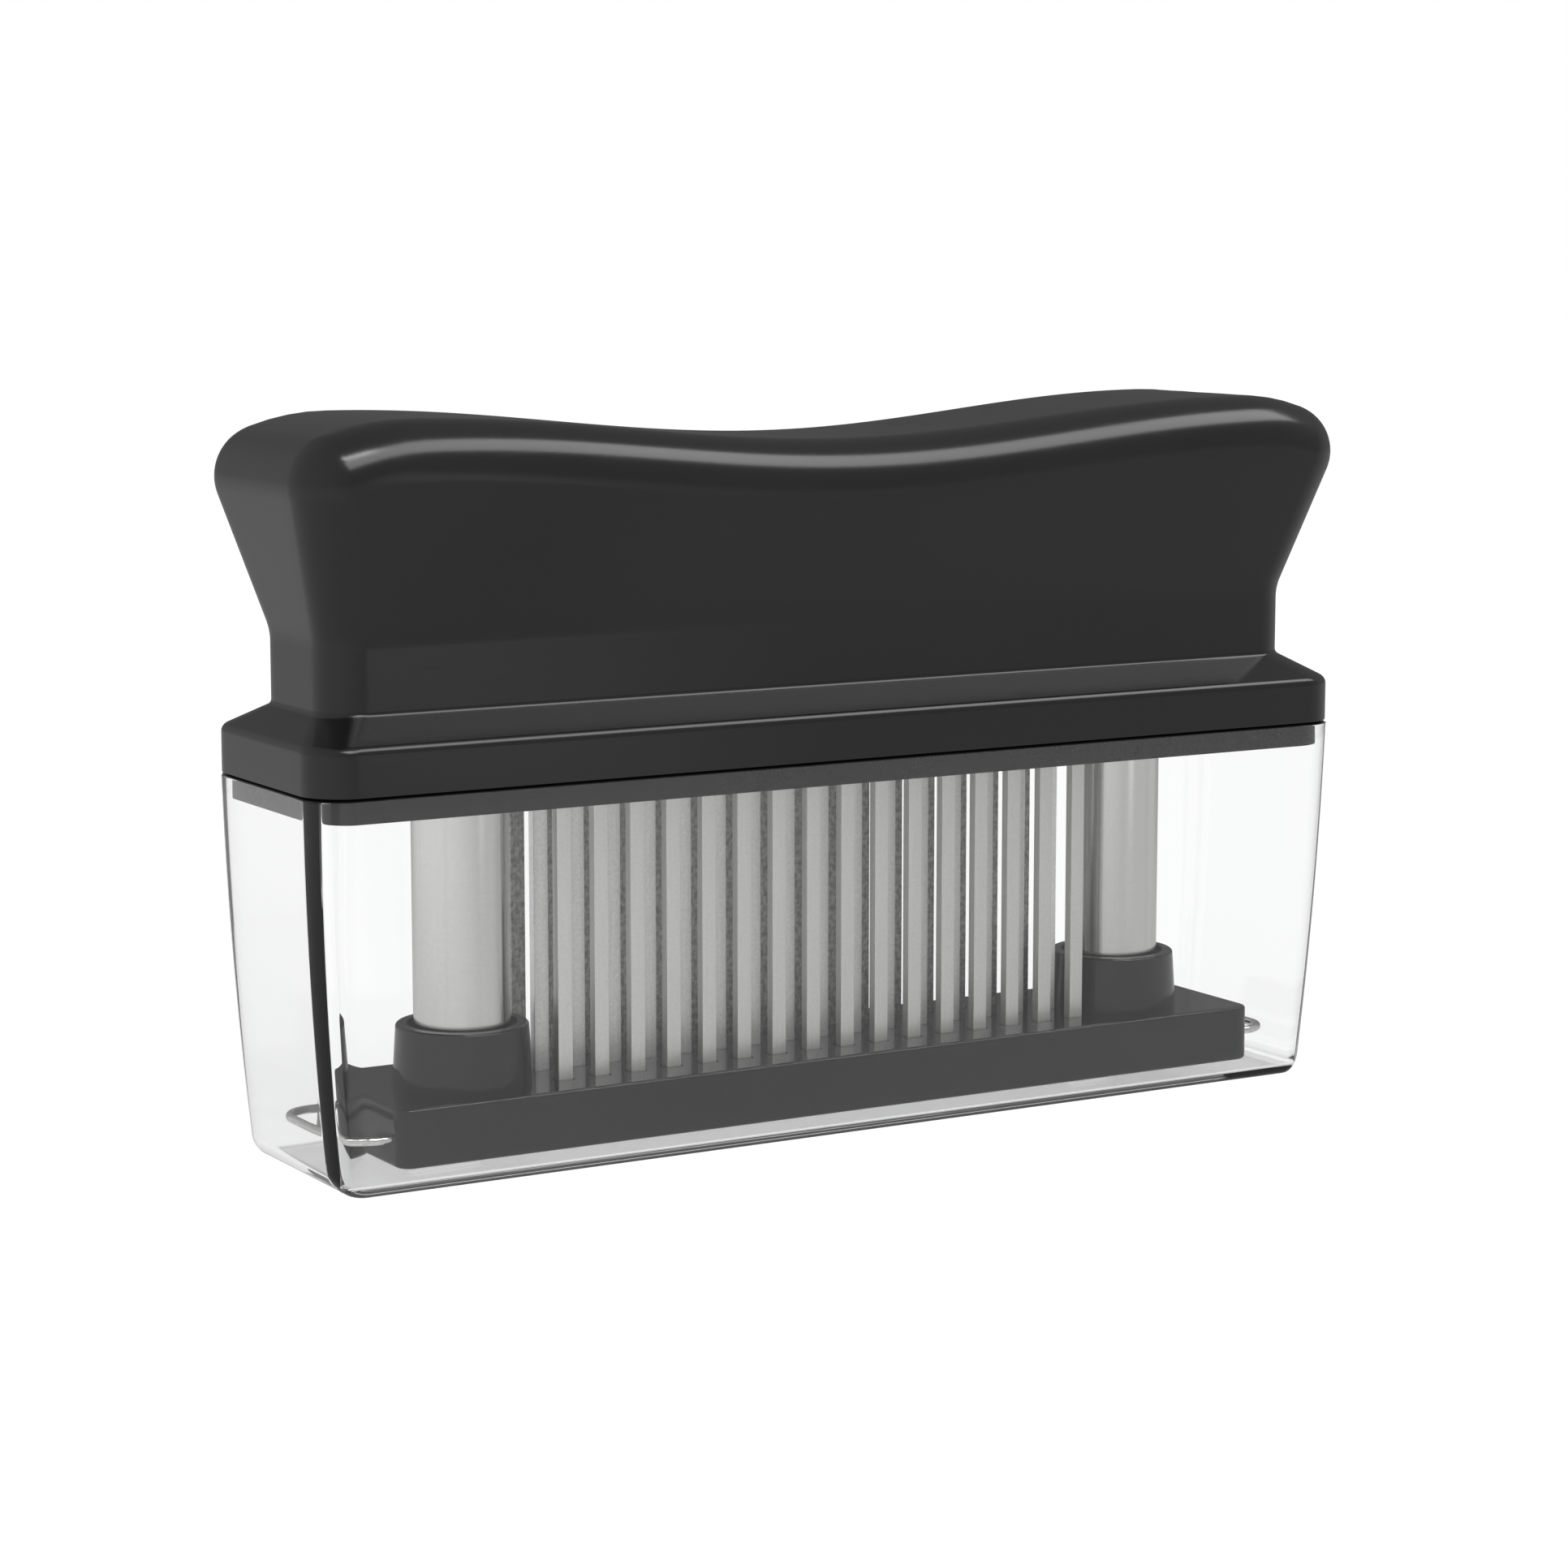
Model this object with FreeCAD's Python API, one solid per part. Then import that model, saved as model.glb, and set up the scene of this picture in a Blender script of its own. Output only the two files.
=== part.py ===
"""Press-type meat tenderizer with 48 blades, standing in its clear blade cover.

Millimetres. The origin is the centre of the cover's underside: +X runs along the
tool's length, +Y away from the front, +Z up.
"""
import FreeCAD, Part
import math
import os

from FreeCAD import Vector

# Handle, outside
BASE_HALF_LENGTH = 77.5
BASE_HALF_DEPTH = 17.3
BASE_CORNER = 5.6
BASE_BOTTOM = 49.8
BASE_TOP = 56.1
WAIST_HALF_LENGTH = 73.15
WAIST_HALF_DEPTH = 11.1
WAIST_CORNER = 5.35
WAIST_BOTTOM = 59.3
WAIST_TOP = 68.5
FLARE_RUN_LENGTH = 0.275        # how far the grip's ends lean out for each mm of height
FLARE_RUN_DEPTH = 0.36          # the same for its front and back
FLARE_CORNER_GROWTH = 0.09
FLARE_TOP = 99.0
TOP_EDGE_RADIUS = 6.5
ROOF_EDGE_RADIUS = 3.6          # rounding inside the hollow, under the top edge
SHOULDER_EDGE_RADIUS = 1.3
SHOULDER_FOOT_RADIUS = 0.9
FLARE_FOOT_RADIUS = 8.0

# Wavy top of the grip
DIP_HEIGHT = 91.4
CREST_HEIGHT = 95.45
CREST_X = 65.0
CREST_FALL = 2.5                # drop of the top, FALL_RUN beyond each crest
FALL_RUN = 15.0
CROWN_STEPS = 24

# Handle, inside
SHELL_WALL = 2.6
ROOF_THICKNESS = 3.0
RIB_THICKNESS = 2.0
RIB_SPACING = 28.0
SCREW_COLUMN_RADIUS = 3.4

# Sizes well past the object, for forms that are trimmed by others
FAR_LENGTH = 90.0
FAR_DEPTH = 30.0

# Clear cover
COVER_TOP = BASE_BOTTOM
COVER_TOP_HALF_LENGTH = 77.5
COVER_TOP_HALF_DEPTH = 17.2
COVER_TOP_CORNER = 5.2
COVER_FOOT_HALF_LENGTH = 74.4
COVER_FOOT_HALF_DEPTH = 14.95
COVER_FOOT_CORNER = 3.9
COVER_END_BOW = 0.59            # how far the end walls bow out, halfway up
COVER_WALL = 1.2
COVER_FLOOR = 1.0
COVER_INNER_CORNER = 1.2
COVER_FOOT_END_EDGE = 3.3       # rounding under the end walls
COVER_FOOT_LONG_EDGE = 1.0      # rounding under the front and back walls
COVER_INNER_EDGE = 0.5
COVER_LEVELS = 4

# Blade holder
HOLDER_BOTTOM = 46.8
HOLDER_HALF_LENGTH = 75.4
HOLDER_HALF_DEPTH = 15.4
HOLDER_CORNER = 3.5
HOLDER_BLOCK_HALF_LENGTH = 60.0
HOLDER_BLOCK_HALF_DEPTH = 11.0
HOLDER_BLOCK_TOP = 57.0
CHANNEL_FLOOR = 48.2

# Blades and their cartridges
ROW_COUNT = 3
BLADES_PER_ROW = 16
BLADE_PITCH = 5.28
ROW_PITCH = 6.65
BLADE_WIDTH = 2.1
BLADE_THICKNESS = 1.4
BLADE_TIP = 3.3
BLADE_TOP = 54.0
BLADE_BEVEL = 5.0
CARTRIDGE_HALF_LENGTH = 41.5
CARTRIDGE_THICKNESS = 5.4
CARTRIDGE_TOP = 55.4
RETAINER_HALF_DEPTH = 9.8

# Guard plate
GUARD_BOTTOM = 2.6
GUARD_TOP = 10.2
GUARD_HALF_LENGTH = 65.5
GUARD_HALF_DEPTH = 13.0
GUARD_CORNER = 2.0
GUARD_EDGE = 0.5
BOSS_TOP = 17.7
BOSS_FOOT_RADIUS = 9.05
BOSS_TOP_RADIUS = 8.55
BOSS_EDGE = 0.4
BOSS_RING_RADIUS = 7.1
BOSS_RING_DEPTH = 0.8
SLOT_CLEARANCE = 0.25

# Posts and what slides
POST_X = 50.7
POST_RADIUS = 6.25
POST_BORE = 5.25
POST_TOP = 61.0
POST_EDGE = 0.4
RUNNING_CLEARANCE = 0.05
SEATING_CLEARANCE = 0.03
FOOT_HALF_LENGTH = 8.4
FOOT_HALF_WIDTH = 11.2
FOOT_THICKNESS = 1.5
FOOT_TOP = 8.3
FOOT_PLUG_TOP = 18.0
BUSH_RADIUS = 7.2
BUSH_FLANGE_RADIUS = 8.3
BUSH_BOTTOM = 47.2
BUSH_FLANGE_TOP = 58.2
RING_RADIUS = 7.7
RING_INNER_RADIUS = 5.8
RING_THICKNESS = 1.2

# Springs
SPRING_SEAT_TOP = 91.0
SPRING_SEAT_THICKNESS = 1.6
SPRING_SEAT_RADIUS = 5.0
STEM_RADIUS = 2.4
STEM_LENGTH = 25.0
SPRING_WIRE = 1.1
SPRING_OUTER_RADIUS = 4.7
SPRING_TURNS = 20

# Wire clips
CLIP_Z = 6.1
CLIP_WIRE_RADIUS = 0.55
CLIP_LEG_Y = 10.2
CLIP_BOW = 5.2
CLIP_BEND_RADIUS = 3.9
CLIP_LEG_END_X = 41.2

# Holder screws
SCREW_X = 68.5
SCREW_Y = 8.8
SCREW_HEAD_RADIUS = 2.8
SCREW_HEAD_HEIGHT = 1.6
SCREW_RADIUS = 1.4
SCREW_TIP = 55.5

ROW_NAMES = ("front", "middle", "rear")
SIDES = (("left", -1), ("right", 1))


def save(shape, name):
    """Write one node to parts/NAME.step."""
    shape.exportStep(os.path.join("parts", name + ".step"))


def box(x0, y0, z0, x1, y1, z1):
    """A box between two corners."""
    return Part.makeBox(x1 - x0, y1 - y0, z1 - z0, Vector(x0, y0, z0))


def disc(radius, z0, z1, x=0.0, y=0.0):
    """An upright cylinder from z0 to z1."""
    return Part.makeCylinder(radius, z1 - z0, Vector(x, y, z0))


def joined(shapes):
    """All the shapes as one solid, without leftover seams."""
    return shapes[0].multiFuse(shapes[1:]).removeSplitter()


def rounded_wire(half_x, half_y, radius, z):
    """A rounded rectangle about the Z axis at height z, as a wire of four lines and four arcs."""
    edges = []
    turns = ((1, 1, 0), (-1, 1, 90), (-1, -1, 180), (1, -1, 270))
    ends = []
    for sign_x, sign_y, start in turns:
        centre = Vector(sign_x * (half_x - radius), sign_y * (half_y - radius), z)
        arc = Part.makeCircle(radius, centre, Vector(0, 0, 1), start, start + 90)
        ends.append((arc.valueAt(arc.FirstParameter), arc.valueAt(arc.LastParameter), arc))
    for index, (_, finish, arc) in enumerate(ends):
        following = ends[(index + 1) % len(ends)][0]
        edges.append(arc)
        edges.append(Part.makeLine(finish, following))
    return Part.Wire(edges)


def rounded_block(half_x, half_y, radius, z0, z1):
    """An upright block with rounded corners."""
    face = Part.Face(rounded_wire(half_x, half_y, radius, z0))
    return face.extrude(Vector(0, 0, z1 - z0))


def tapered_block(low, high):
    """A solid between two rounded rectangles, each given as half_x, half_y, radius, z."""
    return Part.makeLoft([rounded_wire(*low), rounded_wire(*high)], True, True)


def filleted(shape, radius, wanted):
    """Round the edges for which wanted(edge) is true."""
    edges = [edge for edge in shape.Edges if wanted(edge)]
    return shape.makeFillet(radius, edges)


def lies_level(edge, z):
    """Whether an edge lies in the horizontal plane at z."""
    limits = edge.BoundBox
    return abs(limits.ZMin - z) < 0.01 and abs(limits.ZMax - z) < 0.01


# Handle shell

def crown_height(x):
    """Height of the grip's top above a place along its length."""
    beyond = max(0.0, abs(x) - CREST_X)
    if beyond > 0.0:
        return CREST_HEIGHT - CREST_FALL * (beyond / FALL_RUN) ** 2
    swing = (1 - math.cos(math.pi * x / CREST_X)) / 2
    return DIP_HEIGHT + (CREST_HEIGHT - DIP_HEIGHT) * swing


def space_under_crown(drop):
    """The space between the handle's bottom and the wavy crown, lowered by drop."""
    step = 2 * FAR_LENGTH / CROWN_STEPS
    places = [-FAR_LENGTH + step * index for index in range(CROWN_STEPS + 1)]
    crown = Part.BSplineCurve()
    crown.interpolate([Vector(x, -FAR_DEPTH, crown_height(x) - drop) for x in places])
    first = Vector(-FAR_LENGTH, -FAR_DEPTH, BASE_BOTTOM)
    last = Vector(FAR_LENGTH, -FAR_DEPTH, BASE_BOTTOM)
    outline = Part.Wire([
        Part.makeLine(first, crown.StartPoint),
        crown.toShape(),
        Part.makeLine(crown.EndPoint, last),
        Part.makeLine(last, first),
    ])
    return Part.Face(outline).extrude(Vector(0, 2 * FAR_DEPTH, 0))


def flare_section(z, inset):
    """Half length, half depth and corner radius of the flared grip at a height."""
    rise = z - WAIST_TOP
    return (
        WAIST_HALF_LENGTH + FLARE_RUN_LENGTH * rise - inset,
        WAIST_HALF_DEPTH + FLARE_RUN_DEPTH * rise - inset,
        WAIST_CORNER + FLARE_CORNER_GROWTH * rise - inset,
        z,
    )


def handle_outside():
    """The handle as it would be if it were solid."""
    waist = (WAIST_HALF_LENGTH, WAIST_HALF_DEPTH, WAIST_CORNER)
    base = rounded_block(BASE_HALF_LENGTH, BASE_HALF_DEPTH, BASE_CORNER, BASE_BOTTOM, BASE_TOP)
    shoulder = tapered_block(
        (BASE_HALF_LENGTH, BASE_HALF_DEPTH, BASE_CORNER, BASE_TOP),
        waist + (WAIST_BOTTOM,),
    )
    neck = rounded_block(*waist, WAIST_BOTTOM, WAIST_TOP)
    flare = tapered_block(flare_section(WAIST_TOP, 0), flare_section(FLARE_TOP, 0))
    body = joined([base, shoulder, neck, flare])
    body = body.common(space_under_crown(0))
    body = filleted(body, FLARE_FOOT_RADIUS, lambda edge: lies_level(edge, WAIST_TOP))
    body = filleted(body, TOP_EDGE_RADIUS, lambda edge: edge.BoundBox.ZMin > DIP_HEIGHT - 1)
    body = filleted(body, SHOULDER_EDGE_RADIUS, lambda edge: lies_level(edge, BASE_TOP))
    return filleted(body, SHOULDER_FOOT_RADIUS, lambda edge: lies_level(edge, WAIST_BOTTOM))


def handle_hollow():
    """The space inside the handle, open below."""
    base_length = BASE_HALF_LENGTH - SHELL_WALL
    base_depth = BASE_HALF_DEPTH - SHELL_WALL
    base_corner = BASE_CORNER - SHELL_WALL
    shoulder_foot = BASE_TOP - SHELL_WALL / 2
    waist = (
        WAIST_HALF_LENGTH - SHELL_WALL,
        WAIST_HALF_DEPTH - SHELL_WALL,
        WAIST_CORNER - SHELL_WALL,
    )
    base = rounded_block(base_length, base_depth, base_corner, BASE_BOTTOM - 1, shoulder_foot)
    shoulder = tapered_block(
        (base_length, base_depth, base_corner, shoulder_foot),
        waist + (WAIST_BOTTOM,),
    )
    neck = rounded_block(*waist, WAIST_BOTTOM, WAIST_TOP)
    flare = tapered_block(flare_section(WAIST_TOP, SHELL_WALL), flare_section(FLARE_TOP, SHELL_WALL))
    flare = flare.common(space_under_crown(ROOF_THICKNESS))
    roof = DIP_HEIGHT - ROOF_THICKNESS - 1
    flare = filleted(flare, ROOF_EDGE_RADIUS, lambda edge: edge.BoundBox.ZMin > roof)
    hollow = joined([base, shoulder, neck, flare])
    keep_solid = []
    for x in (-RIB_SPACING, 0.0, RIB_SPACING):
        keep_solid.append(box(
            x - RIB_THICKNESS / 2, -BASE_HALF_DEPTH, HOLDER_BLOCK_TOP,
            x + RIB_THICKNESS / 2, BASE_HALF_DEPTH, FLARE_TOP,
        ))
    for _, sign in SIDES:
        keep_solid.append(disc(SPRING_SEAT_RADIUS + 1, SPRING_SEAT_TOP, FLARE_TOP, sign * POST_X))
    for x, y in screw_places():
        keep_solid.append(disc(SCREW_COLUMN_RADIUS, BASE_BOTTOM, WAIST_BOTTOM - 1, x, y))
    return hollow.cut(Part.makeCompound(keep_solid))


def screw_places():
    """Where the four holder screws stand."""
    return [(sx * SCREW_X, sy * SCREW_Y) for sx in (-1, 1) for sy in (-1, 1)]


def make_handle_shell():
    """Grip, waist and base block in one hollow moulding."""
    shell = handle_outside().cut(handle_hollow())
    pilot_holes = [
        disc(SCREW_RADIUS, BASE_BOTTOM - 1, SCREW_TIP + 0.5, x, y) for x, y in screw_places()
    ]
    return shell.cut(Part.makeCompound(pilot_holes))


# Clear cover

def cover_section(z, inset):
    """The cover's outline at a height, as half_x, half_y, radius, z."""
    share = z / COVER_TOP
    end_bow = COVER_END_BOW * 4 * share * (1 - share)
    half_x = COVER_FOOT_HALF_LENGTH + (COVER_TOP_HALF_LENGTH - COVER_FOOT_HALF_LENGTH) * share
    half_y = COVER_FOOT_HALF_DEPTH + (COVER_TOP_HALF_DEPTH - COVER_FOOT_HALF_DEPTH) * share
    corner = COVER_FOOT_CORNER + (COVER_TOP_CORNER - COVER_FOOT_CORNER) * share
    if inset > 0:
        corner = COVER_INNER_CORNER
    return half_x + end_bow - inset, half_y - inset, corner, z


def cover_form(inset, foot, top):
    """The form between two heights within the cover's outside, moved in by inset."""
    wires = []
    for index in range(COVER_LEVELS):
        z = foot + (top - foot) * index / (COVER_LEVELS - 1)
        wires.append(rounded_wire(*cover_section(z, inset)))
    return Part.makeLoft(wires, True, False)


def foot_edge_radii(shape):
    """For each edge round the foot: its number and the rounding at its first and last point."""
    radii = []
    for number, edge in enumerate(shape.Edges, start=1):
        if not lies_level(edge, 0.0):
            continue
        first = edge.valueAt(edge.FirstParameter)
        last = edge.valueAt(edge.LastParameter)
        ends = []
        for point in (first, last):
            on_end_wall = abs(abs(point.x) - COVER_FOOT_HALF_LENGTH) < 0.01
            ends.append(COVER_FOOT_END_EDGE if on_end_wall else COVER_FOOT_LONG_EDGE)
        radii.append((number, ends[0], ends[1]))
    return radii


def with_rounded_foot(shape):
    """Round the foot much under the end walls and a little under the long walls."""
    document = FreeCAD.newDocument("cover")
    sharp = document.addObject("Part::Feature", "sharp")
    sharp.Shape = shape
    rounded = document.addObject("Part::Fillet", "rounded")
    rounded.Base = sharp
    rounded.Edges = foot_edge_radii(shape)
    document.recompute()
    result = rounded.Shape.copy()
    FreeCAD.closeDocument(document.Name)
    return result


def make_clear_cover():
    """Tapered clear tray with even walls."""
    outside = with_rounded_foot(cover_form(0.0, 0.0, COVER_TOP))
    inside = cover_form(COVER_WALL, COVER_FLOOR, COVER_TOP + 2)
    inside = filleted(inside, COVER_INNER_EDGE, lambda edge: lies_level(edge, COVER_FLOOR))
    return outside.cut(inside)


# Blades, cartridges and holder

def row_y(row):
    """Where a row of blades stands, front row first."""
    return (row - (ROW_COUNT - 1) / 2) * ROW_PITCH


def blade_xs():
    """Where the blades of a row stand along the length."""
    middle = (BLADES_PER_ROW - 1) / 2
    return [(index - middle) * BLADE_PITCH for index in range(BLADES_PER_ROW)]


def make_blade(x, y):
    """One blade: a flat bar ground to a chisel point from both broad sides."""
    half_width = BLADE_WIDTH / 2
    half_thickness = BLADE_THICKNESS / 2
    outline = Part.makePolygon([
        Vector(x, y - half_thickness, BLADE_TIP),
        Vector(x + half_width, y - half_thickness, BLADE_TIP + BLADE_BEVEL),
        Vector(x + half_width, y - half_thickness, BLADE_TOP),
        Vector(x - half_width, y - half_thickness, BLADE_TOP),
        Vector(x - half_width, y - half_thickness, BLADE_TIP + BLADE_BEVEL),
        Vector(x, y - half_thickness, BLADE_TIP),
    ])
    return Part.Face(outline).extrude(Vector(0, BLADE_THICKNESS, 0))


def blade_wells(grow, z0, z1, rows=range(ROW_COUNT)):
    """Upright wells for the blades, wider than the blades by grow on each side."""
    wells = []
    for row in rows:
        for x in blade_xs():
            wells.append(box(
                x - BLADE_WIDTH / 2 - grow, row_y(row) - BLADE_THICKNESS / 2 - grow, z0,
                x + BLADE_WIDTH / 2 + grow, row_y(row) + BLADE_THICKNESS / 2 + grow, z1,
            ))
    return Part.makeCompound(wells)


def make_cartridge(row):
    """The bar that carries one row of blades."""
    y = row_y(row)
    bar = box(
        -CARTRIDGE_HALF_LENGTH, y - CARTRIDGE_THICKNESS / 2, CHANNEL_FLOOR,
        CARTRIDGE_HALF_LENGTH, y + CARTRIDGE_THICKNESS / 2, CARTRIDGE_TOP,
    )
    return bar.cut(blade_wells(0.0, CHANNEL_FLOOR - 1, BLADE_TOP, [row]))


def make_retainer():
    """Plate that lies on the three cartridges, under the handle's ribs."""
    reach = CARTRIDGE_HALF_LENGTH
    plate = box(-reach, -RETAINER_HALF_DEPTH, CARTRIDGE_TOP, reach, RETAINER_HALF_DEPTH, HOLDER_BLOCK_TOP)
    return filleted(plate, 1.0, lambda edge: edge.BoundBox.ZLength > 1)


def make_blade_holder():
    """Rim, block with three channels, post collars and screw seats."""
    rim = rounded_block(HOLDER_HALF_LENGTH, HOLDER_HALF_DEPTH, HOLDER_CORNER, HOLDER_BOTTOM, BASE_BOTTOM)
    block = rounded_block(
        HOLDER_BLOCK_HALF_LENGTH, HOLDER_BLOCK_HALF_DEPTH, 2.0, BASE_BOTTOM, HOLDER_BLOCK_TOP
    )
    holder = joined([rim, block])
    reach = CARTRIDGE_HALF_LENGTH + 0.1
    retainer_reach = RETAINER_HALF_DEPTH + 0.1
    cuts = [blade_wells(SLOT_CLEARANCE, HOLDER_BOTTOM - 1, CHANNEL_FLOOR + 1)]
    for row in range(ROW_COUNT):
        half = CARTRIDGE_THICKNESS / 2 + 0.1
        y = row_y(row)
        cuts.append(box(-reach, y - half, CHANNEL_FLOOR, reach, y + half, HOLDER_BLOCK_TOP + 1))
    cuts.append(box(
        -reach, -retainer_reach, CARTRIDGE_TOP, reach, retainer_reach, HOLDER_BLOCK_TOP + 1
    ))
    for _, sign in SIDES:
        x = sign * POST_X
        bush_hole = BUSH_RADIUS + SEATING_CLEARANCE
        cuts.append(disc(POST_RADIUS + 0.5, HOLDER_BOTTOM - 1, BUSH_BOTTOM + 1, x))
        cuts.append(disc(bush_hole, BUSH_BOTTOM, HOLDER_BLOCK_TOP + 1, x))
    for x, y in screw_places():
        cuts.append(disc(SCREW_RADIUS + 0.2, HOLDER_BOTTOM - 1, BASE_BOTTOM + 1, x, y))
        seat = HOLDER_BOTTOM + SCREW_HEAD_HEIGHT
        cuts.append(disc(SCREW_HEAD_RADIUS + 0.3, HOLDER_BOTTOM - 1, seat, x, y))
    return holder.cut(Part.makeCompound(cuts))


def make_screws():
    """Four pan-head screws driven up from below."""
    seat = HOLDER_BOTTOM + SCREW_HEAD_HEIGHT
    screws = []
    for x, y in screw_places():
        head = filleted(
            disc(SCREW_HEAD_RADIUS, HOLDER_BOTTOM + 0.1, seat, x, y),
            0.6,
            lambda edge: lies_level(edge, HOLDER_BOTTOM + 0.1),
        )
        cross = [
            box(x - 1.6, y - 0.35, HOLDER_BOTTOM, x + 1.6, y + 0.35, HOLDER_BOTTOM + 1.0),
            box(x - 0.35, y - 1.6, HOLDER_BOTTOM, x + 0.35, y + 1.6, HOLDER_BOTTOM + 1.0),
        ]
        shank = disc(SCREW_RADIUS - SEATING_CLEARANCE, seat, SCREW_TIP, x, y)
        screws.append(joined([head, shank]).cut(Part.makeCompound(cross)))
    return Part.makeCompound(screws)


# Guard plate, posts, feet and clips

def make_guard_plate():
    """Slotted plate with two bosses, foot pockets below and channels for the wire clips."""
    plate = rounded_block(GUARD_HALF_LENGTH, GUARD_HALF_DEPTH, GUARD_CORNER, GUARD_BOTTOM, GUARD_TOP)
    plate = filleted(plate, GUARD_EDGE, lambda edge: lies_level(edge, GUARD_TOP))
    plate = filleted(plate, GUARD_EDGE, lambda edge: lies_level(edge, GUARD_BOTTOM))
    pieces = [plate]
    cuts = [blade_wells(SLOT_CLEARANCE, GUARD_BOTTOM - 1, GUARD_TOP + 1)]
    for _, sign in SIDES:
        x = sign * POST_X
        height = BOSS_TOP - GUARD_TOP + 0.5
        boss = Part.makeCone(BOSS_FOOT_RADIUS, BOSS_TOP_RADIUS, height, Vector(x, 0, GUARD_TOP - 0.5))
        boss = filleted(boss, BOSS_EDGE, lambda edge: lies_level(edge, BOSS_TOP))
        pieces.append(boss)
        cuts.append(disc(POST_RADIUS + SEATING_CLEARANCE, FOOT_TOP, BOSS_TOP + 1, x))
        cuts.append(disc(BOSS_RING_RADIUS, BOSS_TOP - BOSS_RING_DEPTH, BOSS_TOP + 1, x))
        cuts.append(foot_pocket(x))
        for leg_y in (-CLIP_LEG_Y, CLIP_LEG_Y):
            length = GUARD_HALF_LENGTH - CLIP_LEG_END_X + 1.5
            start = Vector(sign * (CLIP_LEG_END_X - 0.5), leg_y, CLIP_Z)
            hole_radius = CLIP_WIRE_RADIUS + RUNNING_CLEARANCE
            cuts.append(Part.makeCylinder(hole_radius, length, start, Vector(sign, 0, 0)))
    return joined(pieces).cut(Part.makeCompound(cuts))


def foot_pocket(x):
    """The pocket in the guard plate's underside for one post's foot."""
    pocket = rounded_block(FOOT_HALF_LENGTH + 0.2, FOOT_HALF_WIDTH + 0.2, 1.2, GUARD_BOTTOM - 1, FOOT_TOP)
    pocket.translate(Vector(x, 0, 0))
    return pocket


def make_post(x):
    """Steel tube with a groove for the stop ring."""
    tube = disc(POST_RADIUS, FOOT_TOP, POST_TOP, x)
    tube = filleted(tube, POST_EDGE, lambda edge: lies_level(edge, POST_TOP))
    ring_bottom = BUSH_FLANGE_TOP + RUNNING_CLEARANCE
    groove = disc(POST_RADIUS + 1, ring_bottom, ring_bottom + RING_THICKNESS, x)
    groove = groove.cut(disc(RING_INNER_RADIUS - SEATING_CLEARANCE, ring_bottom, POST_TOP, x))
    return tube.cut(disc(POST_BORE, FOOT_TOP, POST_TOP, x)).cut(groove)


def make_post_foot(x):
    """Foot plate and plug that close the tube's lower end."""
    plate = rounded_block(FOOT_HALF_LENGTH, FOOT_HALF_WIDTH, 1.0, FOOT_TOP - FOOT_THICKNESS, FOOT_TOP)
    plate.translate(Vector(x, 0, 0))
    plug = disc(POST_BORE - SEATING_CLEARANCE, FOOT_TOP - 0.5, FOOT_PLUG_TOP, x)
    return joined([plate, plug])


def make_stop_ring(x):
    """Open snap ring in the post's groove."""
    bottom = BUSH_FLANGE_TOP + RUNNING_CLEARANCE
    ring = disc(RING_RADIUS, bottom, bottom + RING_THICKNESS, x)
    ring = ring.cut(disc(RING_INNER_RADIUS, bottom, bottom + RING_THICKNESS, x))
    gap = box(x - 1.5, 0, bottom, x + 1.5, RING_RADIUS + 1, bottom + RING_THICKNESS)
    return ring.cut(gap)


def make_guide_bush(x):
    """Flanged bush in which a post slides."""
    sleeve = disc(BUSH_RADIUS, BUSH_BOTTOM, BUSH_FLANGE_TOP, x)
    flange = disc(BUSH_FLANGE_RADIUS, HOLDER_BLOCK_TOP, BUSH_FLANGE_TOP, x)
    bore = disc(POST_RADIUS + RUNNING_CLEARANCE, BUSH_BOTTOM - 1, BUSH_FLANGE_TOP + 1, x)
    return joined([sleeve, flange]).cut(bore)


def make_spring_seat(x):
    """Seat under the handle's roof with a stem that guides the spring."""
    bottom = SPRING_SEAT_TOP - SPRING_SEAT_THICKNESS
    seat = disc(SPRING_SEAT_RADIUS, bottom, SPRING_SEAT_TOP, x)
    stem = disc(STEM_RADIUS, bottom - STEM_LENGTH, bottom + 0.5, x)
    stem = filleted(stem, 1.0, lambda edge: lies_level(edge, bottom - STEM_LENGTH))
    return joined([seat, stem])


def make_spring(x):
    """Coil spring between the post's foot plug and the seat under the roof."""
    top = SPRING_SEAT_TOP - SPRING_SEAT_THICKNESS
    mean_radius = SPRING_OUTER_RADIUS - SPRING_WIRE / 2
    start = FOOT_PLUG_TOP + SPRING_WIRE / 2 + 0.02
    height = top - SPRING_WIRE / 2 - 0.02 - start
    path = Part.makeHelix(height / SPRING_TURNS, height, mean_radius)
    ring = Part.makeCircle(SPRING_WIRE / 2, Vector(mean_radius, 0, 0), Vector(0, 1, 0))
    coil = Part.Wire(path.Edges).makePipeShell([Part.Wire(ring)], True, True)
    coil.translate(Vector(x, 0, start))
    return coil


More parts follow.
